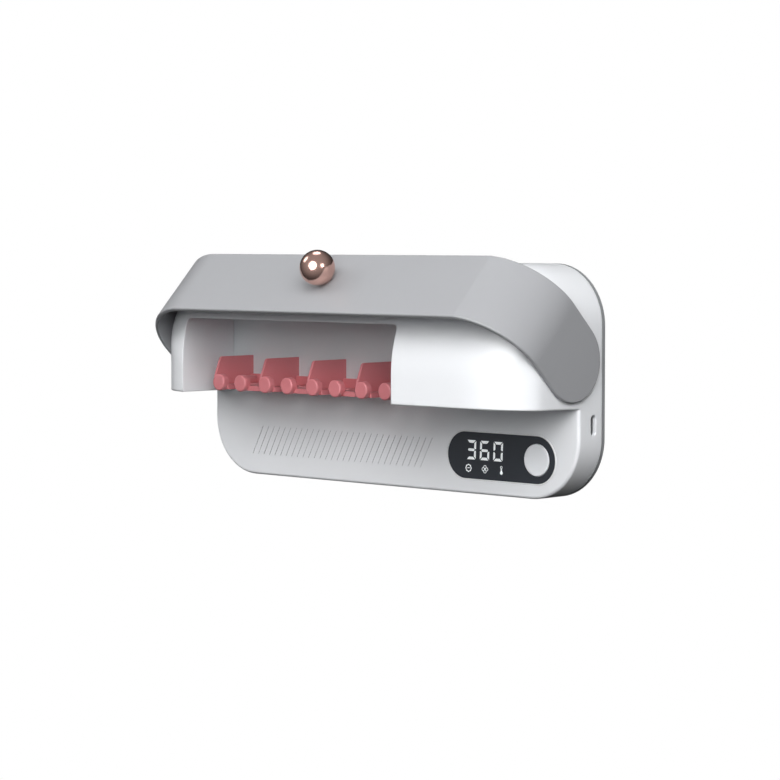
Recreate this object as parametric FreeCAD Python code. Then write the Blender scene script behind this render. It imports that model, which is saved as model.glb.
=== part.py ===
"""Wall-mounted toothbrush sanitizer with a flip-up cover.

Frame: origin at the centre of the wall face, +Z up, the front faces -Y, +X to the viewer's right.
All lengths are millimetres. "d" is the distance in front of the wall, so y = -d.
The cover is stored open, the pose in which brushes are put in and taken out.
"""
import FreeCAD, Part
import math
import os

V = FreeCAD.Vector
X_AXIS = V(1, 0, 0)
Y_AXIS = V(0, 1, 0)
Z_AXIS = V(0, 0, 1)

# ---- driving dimensions: case ----
WIDTH = 250.0                 # outline of the case, seen from the front
HEIGHT = 112.0
CORNER_R = 29.5
WALL = 2.2                    # moulded wall of the case
BACK_D = 0.6                  # back of the case stands this far off the wall
RIM_D = 3.1                   # joint between rear cover and front housing
FACE_D = 20.0                 # lower front face
FACE_EDGE_R = 1.5             # rounded edge round the lower front face
BULGE_D = 65.8                # front of the brush chamber
BULGE_Z = -12.0               # underside of the brush chamber, at the lower front face
BULGE_RISE = 1.0              # the underside climbs by this much towards the front
BULGE_CORNER_RUN = 34.0       # plan corners of the chamber front: elliptic, along the width
BULGE_CORNER_DEPTH = 20.0     # and along the depth
BULGE_SHOULDER_Z = 3.5        # the front is upright below this and leans back above it
BULGE_NOSE_R = 10.0           # radius of the section's top corners at the very front
BULGE_EDGE_R = 0.8            # softened lower edge of the chamber front
BULGE_SECTIONS = 18
GASKET_T = 0.8
BOSS_R = 4.2
BOSS_REACH = CORNER_R - WALL - BOSS_R + 0.6    # from the corner's centre, so that the boss joins the wall
SCREW_R = 1.45
SCREW_HOLE_R = 1.5
SCREW_HEAD_HOLE_R = 3.1
INTAKE_X0 = 78.0
INTAKE_X1 = 114.0
INTAKE_SLOTS = 6
LIP_T = 1.2                   # lip of the rear cover, inside the case wall
LIP_GAP = 0.2
LIP_H = 2.0

# ---- driving dimensions: brush chamber ----
CHAMBER_X0 = -111.0           # left wall where it meets the chamber's back
CHAMBER_X1 = 47.2
CHAMBER_FLARE = 0.21          # the left wall closes in by this much per millimetre towards the front
MOUTH_TOP_Z = 27.0
MOUTH_R = 3.0
ROOF_Z = 34.0
LINER_T = 1.8
OUTLET_SLOTS = 5
OUTLET_PITCH = 5.2

# ---- driving dimensions: flip cover ----
PIVOT_D = 26.5
PIVOT_Z = 10.8
OPEN_ANGLE = 43.9
COVER_GAP = 0.4               # between the case side and the cover arm
COVER_T = 2.0
COVER_HALF_H = 19.4           # half height of the band, and radius of its end lobes
COVER_REACH = 51.2            # pivot to the outer front face
COVER_CORNER_RUN = 34.0       # plan corners: along the width
COVER_CORNER_DEPTH = 32.0     # and along the depth
COVER_CORNER_POWER = 1.9
COVER_EDGE_R = 0.8
KNOB_R = 8.7
KNOB_Z = 2.2                  # above the middle of the band
KNOB_NECK_H = 0.45
KNOB_NECK_R = 3.4
KNOB_SCREW_R = 1.5

# ---- driving dimensions: hinge ----
PIN_R = 2.5
PIN_RUN = 0.05                # radial running clearance
BUSH_R = 4.2
BUSH_IN = 5.6                 # bush length inwards from the case side
CLIP_R = 4.2
CLIP_GROOVE_R = 1.9
PIN_TIP = 126.4
PIN_TAIL = 117.4
CLIP_X0, CLIP_X1 = 118.0, 118.6
WASHER_X0, WASHER_X1 = 118.7, 119.3
WASHER_R = 5.4
CAM_X0, CAM_X1 = 113.2, 117.0
CAM_R = 5.6
HINGE_BORE_X0, HINGE_BORE_X1 = 100.0, 130.0    # span of the tools that bore the hinge parts

# ---- driving dimensions: brush holder ----
SLOTS = 4
SLOT_PITCH = 34.2
PEG_X0 = -92.9
PEG_SPAN = 16.0               # left peg to right peg of one slot
PEG_R = 4.3
PEG_Z = -6.4
PEG_FRONT_D = 48.0
PEG_BACK_D = 44.4
PEG_EDGE_R = 0.8
HOLDER_PLATE_Z0 = -10.1
HOLDER_PLATE_Z1 = -7.6
HOLDER_PLATE_D = 45.0
HOLDER_SPINE_T = 2.0
HOLDER_BOSS_R = 2.7
HOLDER_BOSS_L = 9.6
HOLDER_SCREW_L = 9.0
NOTCH_END_D = 31.5            # centre of each notch's round end
FIN_T = 1.3
FIN_TOP_Z = 6.7
FIN_EDGE_R = 2.0

# ---- driving dimensions: ultraviolet lamp ----
UV_X0 = -92.0
UV_X1 = 20.0
UV_D = 36.0
UV_BOARD_Z = 39.0
UV_BOARD_T = 1.2
UV_LED_COUNT = 4
UV_POST_X = (UV_X0 - 4, UV_X1 + 4)

# ---- driving dimensions: controls ----
CONTROL_X = 76.5
CONTROL_Z = -37.2
CONTROL_W = 68.2
CONTROL_H = 22.8
WINDOW_T = 1.6
BEZEL_W = 0.7
BUTTON_R = 7.7
BUTTON_GAP = 0.2
BUTTON_RISE = 0.5             # cap above the window
BUTTON_STEM_D = 13.4
DIGIT_H = 9.4
DIGIT_W = 5.9
DIGIT_PITCH = 8.6
DIGIT_X0 = 57.7
DIGIT_Z = -34.5
ICON_Z = -43.6
ICON_X = (55.9, 66.5, 77.0)
INK_T = 0.12                  # lit marks stand this far proud of the window
SEGMENT_W = 1.15
SEGMENT_GAP = 0.14
LIT = {"3": "abcdg", "6": "acdefg", "0": "abcdef"}
DISPLAY_BOARD_D0, DISPLAY_BOARD_D1 = 6.6, 8.2
SWITCH_D1 = 12.2

# ---- driving dimensions: charging port ----
PORT_D = 9.4
PORT_Z = -20.1
PORT_L = 10.0                 # opening in the case wall
PORT_W = 3.8
PORT_RECESS = 2.4             # socket mouth behind the outside of the case
PORT_SHELL_W = 9.0
PORT_SHELL_H = 3.2

# ---- driving dimensions: boards, battery and leads ----
STANDOFF_R = 2.6
BOARD_X0, BOARD_X1 = -30.0, 34.0
BOARD_Z0, BOARD_Z1 = -50.0, -17.0
BOARD_D0, BOARD_D1 = 8.0, 9.6
BOARD_INSET = 3.6
BATTERY_X0, BATTERY_X1 = -95.0, -40.0
BATTERY_Z0, BATTERY_Z1 = -49.0, -15.0
BATTERY_D0, BATTERY_D1 = 7.0, 15.0
TAPE_T = 0.8
TAPE_INSET = 6.0
TAPE_Z1 = -33.5
LEAD_R = 0.9
UV_LEAD_X = 2.0
FAN_LEAD_X = 14.0
LEAD_TOP_Z = -20.0
LEAD_D = 12.0

# ---- driving dimensions: fan and heater ----
FAN_X = 64.0
FAN_D = 40.0
FAN_Z = 8.0
FAN_SIZE = 30.0
FAN_T = 10.0
FAN_BLADES = 7
FAN_BORE_R = 14.0
FAN_SHAFT_R = 0.8
FAN_HUB_R = 7.0
DUCT_SIZE = 33.6
DUCT_WALL = 1.6
HEATER_X0, HEATER_X1 = 52.0, 61.0
HEATER_FINS = 9

# ---- driving dimensions: wall bracket ----
PAD_T = 0.8
BRACKET_W = 90.0
BRACKET_H = 46.0
BRACKET_T = 2.0
WALL_SCREW_SPACING = 60.0
WALL_SCREW_R = 2.2
HOOK_X = 25.0
POCKET_W = 98.0
POCKET_Z0 = -31.0
POCKET_Z1 = 26.0
POCKET_D = 3.6
POCKET_FLOOR = 2.0
HOOK_W = 12.0
HOOK_Z0 = 6.0
HOOK_NECK_H = 3.95
HOOK_LIP_H = 10.0
HOOK_SLOT_Z0 = -1.0
HOOK_SLOT_Z1 = 10.0

SIDE_X = WIDTH / 2
BUTTON_X = CONTROL_X + CONTROL_W / 2 - CONTROL_H / 2


# ---- small helpers ----
def box(x0, x1, d0, d1, z0, z1):
    """Block between two X, two wall distances and two heights."""
    return Part.makeBox(x1 - x0, d1 - d0, z1 - z0, V(x0, -d1, z0))


def rod_x(x0, x1, d, z, r):
    return Part.makeCylinder(r, x1 - x0, V(x0, -d, z), X_AXIS)


def rod_d(d0, d1, x, z, r):
    return Part.makeCylinder(r, d1 - d0, V(x, -d1, z), Y_AXIS)


def rod_z(z0, z1, x, d, r):
    return Part.makeCylinder(r, z1 - z0, V(x, -d, z0), Z_AXIS)


def section(half_w, z0, z1, r_top, r_bottom, d, cx=0.0):
    """Closed outline in the plane d with rounded corners; r_bottom may be 0."""
    left, right = cx - half_w, cx + half_w

    def p(x, z):
        return V(x, -d, z)

    def arc(x, z, r, start):
        at = [math.radians(start + step) for step in (0, 45, 90)]
        return Part.Arc(*[p(x + r * math.cos(a), z + r * math.sin(a)) for a in at]).toShape()

    edges = []
    if r_bottom:
        edges.append(arc(left + r_bottom, z0 + r_bottom, r_bottom, 180))
    if right - left > 2 * r_bottom + 1e-6:
        edges.append(Part.makeLine(p(left + r_bottom, z0), p(right - r_bottom, z0)))
    if r_bottom:
        edges.append(arc(right - r_bottom, z0 + r_bottom, r_bottom, 270))
    if z1 - z0 > r_top + r_bottom + 1e-6:
        edges.append(Part.makeLine(p(right, z0 + r_bottom), p(right, z1 - r_top)))
    edges.append(arc(right - r_top, z1 - r_top, r_top, 0))
    if right - left > 2 * r_top + 1e-6:
        edges.append(Part.makeLine(p(right - r_top, z1), p(left + r_top, z1)))
    edges.append(arc(left + r_top, z1 - r_top, r_top, 90))
    if z1 - z0 > r_top + r_bottom + 1e-6:
        edges.append(Part.makeLine(p(left, z1 - r_top), p(left, z0 + r_bottom)))
    return Part.Wire(edges)


def slab(w, h, r, d0, d1, cx=0.0, cz=0.0):
    """Rounded-rectangle plate between two wall distances."""
    outline = section(w / 2, cz - h / 2, cz + h / 2, r, r, d0, cx)
    return Part.Face(outline).extrude(V(0, d0 - d1, 0))


def polygon_x(points, x0, x1):
    """Prism along X from (d, z) corners."""
    corners = [V(x0, -d, z) for d, z in points]
    return Part.Face(Part.makePolygon(corners + corners[:1])).extrude(V(x1 - x0, 0, 0))


def polygon_d(points, d0, d1):
    """Prism between two wall distances from (x, z) corners."""
    corners = [V(x, -d0, z) for x, z in points]
    return Part.Face(Part.makePolygon(corners + corners[:1])).extrude(V(0, d0 - d1, 0))


def polygon_z(points, z0, z1):
    """Prism along Z from (x, d) corners."""
    corners = [V(x, -d, z0) for x, d in points]
    return Part.Face(Part.makePolygon(corners + corners[:1])).extrude(V(0, 0, z1 - z0))


def join(shapes):
    joined = shapes[0]
    for shape in shapes[1:]:
        joined = joined.fuse(shape)
    return joined


def fuse(shapes):
    """Join and merge the faces that lie in one surface."""
    return join(shapes).removeSplitter()


def cut(shape, tools):
    for tool in tools:
        shape = shape.cut(tool)
    return shape


def mirrored(shape, side):
    """The shape itself on the right side, its mirror image on the left."""
    if side > 0:
        return shape
    return shape.mirror(V(0, 0, 0), X_AXIS)


def group(shapes):
    """Separate solids that share one node."""
    return Part.makeCompound(shapes)


def soften(shape, radius, chosen):
    """Round every edge that the test picks out."""
    edges = [edge for edge in shape.Edges if chosen(edge)]
    return shape.makeFillet(radius, edges)


def edge_lies(edge, axis, value, tolerance=1e-4):
    """True when the whole edge has that coordinate."""
    bounds = edge.BoundBox
    spans = {
        "x": (bounds.XMin, bounds.XMax),
        "y": (bounds.YMin, bounds.YMax),
        "z": (bounds.ZMin, bounds.ZMax),
    }
    low, high = spans[axis]
    return abs(low - value) < tolerance and abs(high - value) < tolerance


def screw(head_r, head_h, shank_r, length):
    """Pan-head screw along +X from its seat at the origin, cross recess in the head."""
    head = Part.makeCylinder(head_r, head_h, V(-head_h, 0, 0), X_AXIS)
    head = soften(head, head_h * 0.45, lambda edge: edge_lies(edge, "x", -head_h))
    deep, long, narrow = head_h * 0.6, head_r * 1.1, head_r * 0.25
    recess = [Part.makeBox(deep, long, narrow, V(-head_h, -long / 2, -narrow / 2))]
    recess.append(Part.makeBox(deep, narrow, long, V(-head_h, -narrow / 2, -long / 2)))
    shank = Part.makeCylinder(shank_r, length, V(0, 0, 0), X_AXIS)
    tip = soften(shank, shank_r * 0.4, lambda edge: edge_lies(edge, "x", length))
    return cut(head.fuse(tip), recess)


def screw_from_back(x, z, seat_d, head_r, head_h, shank_r, length):
    """Screw driven from the wall side towards the front."""
    part = screw(head_r, head_h, shank_r, length)
    part.rotate(V(0, 0, 0), Z_AXIS, -90)
    part.translate(V(x, -seat_d, z))
    return part


def lead(points, radius):
    """Insulated wire through (x, d, z) points, with tangent arcs at the turns."""
    path = [V(x, -d, z) for x, d, z in points]
    edges = []
    start = path[0]
    for before, corner, after in zip(path, path[1:], path[2:]):
        into = (corner - before).normalize()
        out = (after - corner).normalize()
        half_turn = into.getAngle(out) / 2
        run = min((corner - before).Length, (after - corner).Length)
        reach = 0.45 * run
        arc_start = corner - into * reach
        arc_end = corner + out * reach
        middle_dir = (out - into).normalize()
        bend_r = reach / math.tan(half_turn)
        centre = corner + middle_dir * (bend_r / math.cos(half_turn))
        middle = centre - middle_dir * bend_r
        edges.append(Part.LineSegment(start, arc_start).toShape())
        edges.append(Part.Arc(arc_start, middle, arc_end).toShape())
        start = arc_end
    edges.append(Part.LineSegment(start, path[-1]).toShape())
    spine = Part.Wire(edges)
    profile = Part.Wire(Part.makeCircle(radius, path[0], path[1] - path[0]))
    return spine.makePipeShell([profile], True, True)


# ---- case ----
def bulge_half_width(d, inset):
    """Plan half width of the chamber front at a wall distance."""
    along = (d - BULGE_D + BULGE_CORNER_DEPTH) / (BULGE_CORNER_DEPTH - inset)
    if along <= 0:
        return SIDE_X - inset
    return SIDE_X - BULGE_CORNER_RUN + (BULGE_CORNER_RUN - inset) * math.sqrt(max(1 - along ** 2, 0.0))


def underside_z(d):
    return BULGE_Z + BULGE_RISE * (d - FACE_D) / (BULGE_D - FACE_D)


def bulge_solid(inset, start_d):
    """Chamber front: a quarter-elliptic top over rounded plan corners, swept as smooth sections."""
    reach = BULGE_D - FACE_D - inset
    rise = HEIGHT / 2 - BULGE_SHOULDER_Z - inset
    sections = []
    for step in range(BULGE_SECTIONS + 1):
        # finer towards the front, where the surface turns quickly
        d = FACE_D + reach * math.sin(math.radians(90 * step / BULGE_SECTIONS))
        lean = math.sqrt(max(1 - ((d - FACE_D) / reach) ** 2, 0.0))
        top = BULGE_SHOULDER_Z + rise * lean
        corner = BULGE_NOSE_R + (CORNER_R - inset - BULGE_NOSE_R) * lean
        sections.append(section(bulge_half_width(d, inset), underside_z(d) + inset, top, corner, 0.0, d))
    body = Part.makeLoft(sections, True, False)
    if start_d < FACE_D:
        top = HEIGHT / 2 - inset
        outline = section(SIDE_X - inset, BULGE_Z + inset, top, CORNER_R - inset, 0.0, start_d)
        body = body.fuse(Part.Face(outline).extrude(V(0, start_d - FACE_D, 0)))
    return body


def is_underside_rim(edge):
    """Lower edges of the chamber front, except where it meets the flat face."""
    ends = [vertex.Point for vertex in edge.Vertexes]
    low = all(abs(point.z - underside_z(-point.y)) < 1e-3 for point in ends)
    return low and not edge_lies(edge, "y", -FACE_D)


def soften_underside(bulge):
    return soften(bulge, BULGE_EDGE_R, is_underside_rim)


def base_slab():
    """Lower, flat part of the case from the rim joint to the lower front face."""
    whole = slab(WIDTH, HEIGHT, CORNER_R, RIM_D, FACE_D)
    rounded = soften(whole, FACE_EDGE_R, lambda edge: edge_lies(edge, "y", -FACE_D))
    lower = rounded.common(box(-SIDE_X - 1, SIDE_X + 1, 0, FACE_D + 1, -HEIGHT, BULGE_Z))
    upper = whole.common(box(-SIDE_X - 1, SIDE_X + 1, 0, FACE_D + 1, BULGE_Z, HEIGHT))
    return lower, upper


def boss_places():
    x = SIDE_X - CORNER_R + BOSS_REACH / math.sqrt(2)
    z = HEIGHT / 2 - CORNER_R + BOSS_REACH / math.sqrt(2)
    return [(sx * x, sz * z) for sx in (-1, 1) for sz in (-1, 1)]


def board_holes():
    xs = (BOARD_X0 + BOARD_INSET, BOARD_X1 - BOARD_INSET)
    zs = (BOARD_Z0 + BOARD_INSET, BOARD_Z1 - BOARD_INSET)
    return [(x, z) for x in xs for z in zs]


def chamber_left(d):
    """X of the chamber's left wall at a wall distance."""
    return CHAMBER_X0 + CHAMBER_FLARE * (d - FACE_D)


def chamber_mouth():
    """Tool that opens the chamber to the front and below."""
    outlines = []
    for d in (FACE_D, BULGE_D + 5):
        mid = (chamber_left(d) + CHAMBER_X1) / 2
        half = (CHAMBER_X1 - chamber_left(d)) / 2
        outlines.append(section(half, BULGE_Z - 5, MOUTH_TOP_Z, MOUTH_R, 0.0, d, mid))
    return Part.makeLoft(outlines, True, True)


def chamber_walls():
    """Side walls of the chamber, from the flat face to the middle of the front skin."""
    left = [(chamber_left(FACE_D) - LINER_T, FACE_D), (chamber_left(FACE_D), FACE_D),
            (chamber_left(BULGE_D), BULGE_D), (chamber_left(BULGE_D) - LINER_T, BULGE_D)]
    right = box(CHAMBER_X1, CHAMBER_X1 + LINER_T, FACE_D, BULGE_D, BULGE_Z, HEIGHT / 2)
    mid_skin = bulge_solid(WALL / 2, FACE_D)
    return [wall.common(mid_skin) for wall in (polygon_z(left, BULGE_Z, HEIGHT / 2), right)]


def hinge_boss(side):
    return mirrored(rod_x(SIDE_X - BUSH_IN, SIDE_X - WALL / 2, PIVOT_D, PIVOT_Z, BUSH_R + 2.2), side)


def intake_slots():
    """Air intake slots in the underside of the right-hand compartment."""
    pitch = (INTAKE_X1 - INTAKE_X0) / (INTAKE_SLOTS - 1)
    slots = []
    for index in range(INTAKE_SLOTS):
        x = INTAKE_X0 + index * pitch
        slots.append(box(x - 1.2, x + 1.2, 29, 51, BULGE_Z - 1, BULGE_Z + WALL + 1))
    return slots


def outlet_slots(x0, x1):
    """Warm-air slots through the right wall of the chamber."""
    slots = []
    for index in range(OUTLET_SLOTS):
        d = FAN_D + (index - (OUTLET_SLOTS - 1) / 2) * OUTLET_PITCH
        slots.append(box(x0, x1, d - 1.3, d + 1.3, FAN_Z - 10, FAN_Z + 11))
    return slots


def front_housing():
    lower, upper = base_slab()
    skin = join([lower, upper, soften_underside(bulge_solid(0.0, FACE_D))])
    slab_core = slab(WIDTH - 2 * WALL, HEIGHT - 2 * WALL, CORNER_R - WALL, RIM_D - 1, FACE_D - WALL)
    bulge_core = bulge_solid(WALL, FACE_D - WALL - 1)
    shell = cut(skin, [slab_core, bulge_core])
    parts = [shell] + chamber_walls()
    for side in (-1, 1):
        parts.append(hinge_boss(side))
    for x, z in boss_places():
        parts.append(rod_d(RIM_D + LIP_H, FACE_D - WALL + 0.1, x, z, BOSS_R))
    for x, z in board_holes():
        parts.append(rod_d(BOARD_D1, FACE_D - WALL + 0.1, x, z, STANDOFF_R))
    body = join(parts)
    tools = [chamber_mouth()]
    tools += intake_slots()
    tools += outlet_slots(CHAMBER_X1 - 1, CHAMBER_X1 + LINER_T + 1)
    for side in (-1, 1):
        tools.append(mirrored(rod_x(SIDE_X - BUSH_IN - 1, SIDE_X + 1, PIVOT_D, PIVOT_Z, BUSH_R), side))
    for x, z in boss_places():
        tools.append(rod_d(RIM_D, FACE_D - WALL - 1.5, x, z, SCREW_HOLE_R))
    for x, z in board_holes():
        tools.append(rod_d(RIM_D, FACE_D - WALL - 0.5, x, z, 1.1))
    window_w = CONTROL_W + 2 * BEZEL_W
    window_h = CONTROL_H + 2 * BEZEL_W
    seat_d = FACE_D - WINDOW_T
    tools.append(slab(window_w, window_h, window_h / 2, seat_d, FACE_D + 1, CONTROL_X, CONTROL_Z))
    hole_w, hole_h = CONTROL_W - 2, CONTROL_H - 2
    tools.append(slab(hole_w, hole_h, hole_h / 2, 10, FACE_D + 1, CONTROL_X, CONTROL_Z))
    tools.append(port_opening())
    tools.append(gasket_ring())
    return cut(body, tools)


def port_opening():
    """Rounded slot through the right side wall."""
    return port_profile(PORT_L, PORT_W, SIDE_X - WALL - 1, SIDE_X + 1)


def gasket_ring():
    outer = slab(WIDTH - 1.4, HEIGHT - 1.4, CORNER_R - 0.7, RIM_D, RIM_D + GASKET_T)
    inner = slab(WIDTH - 3.4, HEIGHT - 3.4, CORNER_R - 1.7, RIM_D - 1, RIM_D + 2)
    return outer.cut(inner)


def rear_cover():
    plate = slab(WIDTH, HEIGHT, CORNER_R, BACK_D, RIM_D)
    plate = soften(plate, 0.5, lambda edge: edge_lies(edge, "y", -BACK_D))
    lip_w = WIDTH - 2 * WALL - 2 * LIP_GAP
    lip_h = HEIGHT - 2 * WALL - 2 * LIP_GAP
    lip_r = CORNER_R - WALL - LIP_GAP
    lip_fill = slab(lip_w, lip_h, lip_r, RIM_D - 0.1, RIM_D + LIP_H)
    lip_hole = slab(lip_w - 2 * LIP_T, lip_h - 2 * LIP_T, lip_r - LIP_T, RIM_D - 1, RIM_D + LIP_H + 1)
    lip = lip_fill.cut(lip_hole)
    pocket_h = POCKET_Z1 - POCKET_Z0
    pocket_mid = (POCKET_Z0 + POCKET_Z1) / 2
    tray = slab(POCKET_W + 3.2, pocket_h + 3.2, 4.6, RIM_D - 0.1, POCKET_D + POCKET_FLOOR, 0.0, pocket_mid)
    bosses = []
    for x, z in boss_places():
        boss = rod_d(RIM_D - 0.1, RIM_D + LIP_H, x, z, BOSS_R + 0.6)
        bosses.append(boss.common(lip_fill))
    body = fuse([plate, lip, tray] + bosses)
    tools = [slab(POCKET_W, pocket_h, 3.0, BACK_D - 1, POCKET_D, 0.0, pocket_mid)]
    for side in (-1, 1):
        x = side * HOOK_X
        half = HOOK_W / 2 + 0.6
        deep = POCKET_D + POCKET_FLOOR + 1
        tools.append(box(x - half, x + half, POCKET_D - 1, deep, HOOK_SLOT_Z0, HOOK_SLOT_Z1))
    for x, z in boss_places():
        tools.append(rod_d(BACK_D - 1, RIM_D, x, z, SCREW_HEAD_HOLE_R))
        tools.append(rod_d(RIM_D - 1, RIM_D + 3, x, z, 1.7))
    return cut(body, tools)


def case_screws():
    return group([screw_from_back(x, z, RIM_D, 2.7, 1.8, SCREW_R, 10.0) for x, z in boss_places()])


def chamber_liner():
    """Back and roof of the brush chamber in one folded panel, with the lamp window cut out."""
    x0, x1 = CHAMBER_X0 + 0.1, CHAMBER_X1 - 0.1
    back = box(x0, x1, FACE_D - LINER_T, FACE_D, BULGE_Z + WALL + 0.1, ROOF_Z + LINER_T)
    roof = box(x0, x1, FACE_D - LINER_T, FACE_D, ROOF_Z, ROOF_Z + LINER_T)
    plan = [(x0, FACE_D), (chamber_left(BULGE_D) + 0.1, BULGE_D), (x1, BULGE_D), (x1, FACE_D)]
    inside = bulge_solid(WALL + 0.15, FACE_D)
    roof = roof.fuse(polygon_z(plan, ROOF_Z, ROOF_Z + LINER_T).common(inside))
    window = box(UV_X0, UV_X1, UV_D - 6, UV_D + 6, ROOF_Z - 1, ROOF_Z + LINER_T + 1)
    posts = []
    for x in UV_POST_X:
        posts.append(rod_z(ROOF_Z + LINER_T - 0.1, UV_BOARD_Z, x, UV_D, 2.4))
    body = fuse([back, roof] + posts)
    tools = [window]
    tools += [rod_d(0, FACE_D + 5, x, PEG_Z, 1.5) for x in holder_screw_xs()]
    tools += [rod_z(ROOF_Z + 1, UV_BOARD_Z + 2, x, UV_D, 0.9) for x in UV_POST_X]
    return cut(body, tools)


# ---- ultraviolet lamp ----
def uv_window():
    """Clear quartz strip that sits in the roof opening on a stepped edge."""
    strip = box(UV_X0 + 0.1, UV_X1 - 0.1, UV_D - 5.9, UV_D + 5.9, ROOF_Z + 0.3, ROOF_Z + LINER_T)
    flange = box(UV_X0 - 1.2, UV_X1 + 1.2, UV_D - 7.2, UV_D + 7.2, ROOF_Z + LINER_T, ROOF_Z + LINER_T + 0.8)
    return fuse([strip, flange])


def uv_board():
    plate = box(UV_X0 - 7, UV_X1 + 7, UV_D - 6, UV_D + 6, UV_BOARD_Z, UV_BOARD_Z + UV_BOARD_T)
    holes = [rod_z(UV_BOARD_Z - 1, UV_BOARD_Z + 3, x, UV_D, 1.1) for x in UV_POST_X]
    return cut(plate, holes)


def uv_leds():
    leds = []
    for index in range(UV_LED_COUNT):
        x = UV_X0 + (index + 0.5) * (UV_X1 - UV_X0) / UV_LED_COUNT
        base = box(x - 1.75, x + 1.75, UV_D - 1.75, UV_D + 1.75, UV_BOARD_Z - 0.8, UV_BOARD_Z)
        dome = Part.makeSphere(1.3, V(x, -UV_D, UV_BOARD_Z - 0.8))
        below = box(x - 2, x + 2, UV_D - 2, UV_D + 2, UV_BOARD_Z - 3, UV_BOARD_Z - 0.7)
        leds.append(base.fuse(dome.common(below)))
    return group(leds)


def uv_screws():
    screws = []
    for x in UV_POST_X:
        part = screw(1.7, 1.1, 0.85, 3.4)
        part.rotate(V(0, 0, 0), Y_AXIS, 90)
        part.translate(V(x, -UV_D, UV_BOARD_Z + UV_BOARD_T))
        screws.append(part)
    return group(screws)


# ---- brush holder ----
def slot_xs():
    return [PEG_X0 + index * SLOT_PITCH for index in range(SLOTS)]


def holder_screw_xs():
    """The two fixing screws stand behind the outermost pegs."""
    return (PEG_X0, PEG_X0 + (SLOTS - 1) * SLOT_PITCH + PEG_SPAN)


def peg(x):
    rod = rod_d(PEG_BACK_D, PEG_FRONT_D, x, PEG_Z, PEG_R)
    return soften(rod, PEG_EDGE_R, lambda edge: edge_lies(edge, "y", -PEG_FRONT_D))


def holder_fin(x):
    """Upright plate beside the left peg, its front leaning back to a rounded top corner."""
    front = PEG_FRONT_D - 1.2
    top_front = front - 3.8
    outline = [(FACE_D, HOLDER_PLATE_Z0), (PEG_BACK_D, HOLDER_PLATE_Z0), (front, PEG_Z),
               (front, PEG_Z + 3.4), (top_front, FIN_TOP_Z), (FACE_D, FIN_TOP_Z)]
    left = x - PEG_R + 0.05
    plate = polygon_x(outline, left, left + FIN_T)
    return soften(plate, FIN_EDGE_R,
                  lambda edge: edge_lies(edge, "y", -top_front) and edge_lies(edge, "z", FIN_TOP_Z))


def brush_holder():
    x_first = PEG_X0 - PEG_R
    x_last = holder_screw_xs()[1] + PEG_R
    plate = box(x_first + 0.05, x_last, FACE_D, HOLDER_PLATE_D, HOLDER_PLATE_Z0, HOLDER_PLATE_Z1)
    spine = box(x_first + 0.05, x_last, FACE_D, FACE_D + HOLDER_SPINE_T, HOLDER_PLATE_Z0, PEG_Z + 3.4)
    parts = [plate, spine]
    for x in slot_xs():
        parts += [peg(x), peg(x + PEG_SPAN), holder_fin(x)]
    parts += [rod_d(FACE_D, FACE_D + HOLDER_BOSS_L, x, PEG_Z, HOLDER_BOSS_R) for x in holder_screw_xs()]
    body = fuse(parts)
    tools = []
    notch_half = PEG_SPAN / 2 - PEG_R
    for x in slot_xs():
        middle = x + PEG_SPAN / 2
        tools.append(box(middle - notch_half, middle + notch_half, NOTCH_END_D, BULGE_D,
                         HOLDER_PLATE_Z0 - 1, PEG_Z + 6))
        tools.append(rod_z(HOLDER_PLATE_Z0 - 1, PEG_Z + 6, middle, NOTCH_END_D, notch_half))
    tools += [rod_d(FACE_D - 1, FACE_D + HOLDER_BOSS_L - 1.6, x, PEG_Z, 1.2) for x in holder_screw_xs()]
    return cut(body, tools)


def holder_screws():
    seat_d = FACE_D - LINER_T
    screws = []
    for x in holder_screw_xs():
        screws.append(screw_from_back(x, PEG_Z, seat_d, 2.6, 1.6, 1.15, HOLDER_SCREW_L))
    return group(screws)


# ---- flip cover, drawn closed and then swung open ----
def swing_open(shape):
    shape.rotate(V(0, -PIVOT_D, PIVOT_Z), X_AXIS, -OPEN_ANGLE)
    return shape


def cover_corner(side, inset, start_x, start_d, z):
    """Plan corner of the cover as one smooth curve from the arm to the front."""
    run = COVER_CORNER_RUN - inset
    depth = COVER_CORNER_DEPTH - inset
    power = 2 / COVER_CORNER_POWER
    points = []
    for step in range(13):
        turn = math.radians(90 * step / 12)
        x = start_x + run * max(math.cos(turn), 0.0) ** power
        d = start_d + depth * max(math.sin(turn), 0.0) ** power
        points.append(V(side * x, -d, z))
    first, last = Y_AXIS * -1, X_AXIS * -1
    if side < 0:
        points.reverse()
        first, last = X_AXIS * -1, Y_AXIS
    curve = Part.BSplineCurve()
    curve.interpolate(Points=points, InitialTangent=first, FinalTangent=last)
    return curve.toShape()


def cover_plan(inset):
    """U outline in plan; its rear ends run on past the pivot."""
    half = SIDE_X + COVER_GAP + COVER_T - inset
    front = PIVOT_D + COVER_REACH - inset
    start_x = SIDE_X + COVER_GAP + COVER_T - COVER_CORNER_RUN
    start_d = PIVOT_D + COVER_REACH - COVER_CORNER_DEPTH
    rear = PIVOT_D - COVER_HALF_H - 2
    z = PIVOT_Z - COVER_HALF_H

    def p(x, d):
        return V(x, -d, z)

    return Part.Wire([
        Part.makeLine(p(half, rear), p(half, start_d)),
        cover_corner(1, inset, start_x, start_d, z),
        Part.makeLine(p(start_x, front), p(-start_x, front)),
        cover_corner(-1, inset, start_x, start_d, z),
        Part.makeLine(p(-half, start_d), p(-half, rear)),
        Part.makeLine(p(-half, rear), p(half, rear)),
    ])


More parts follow.
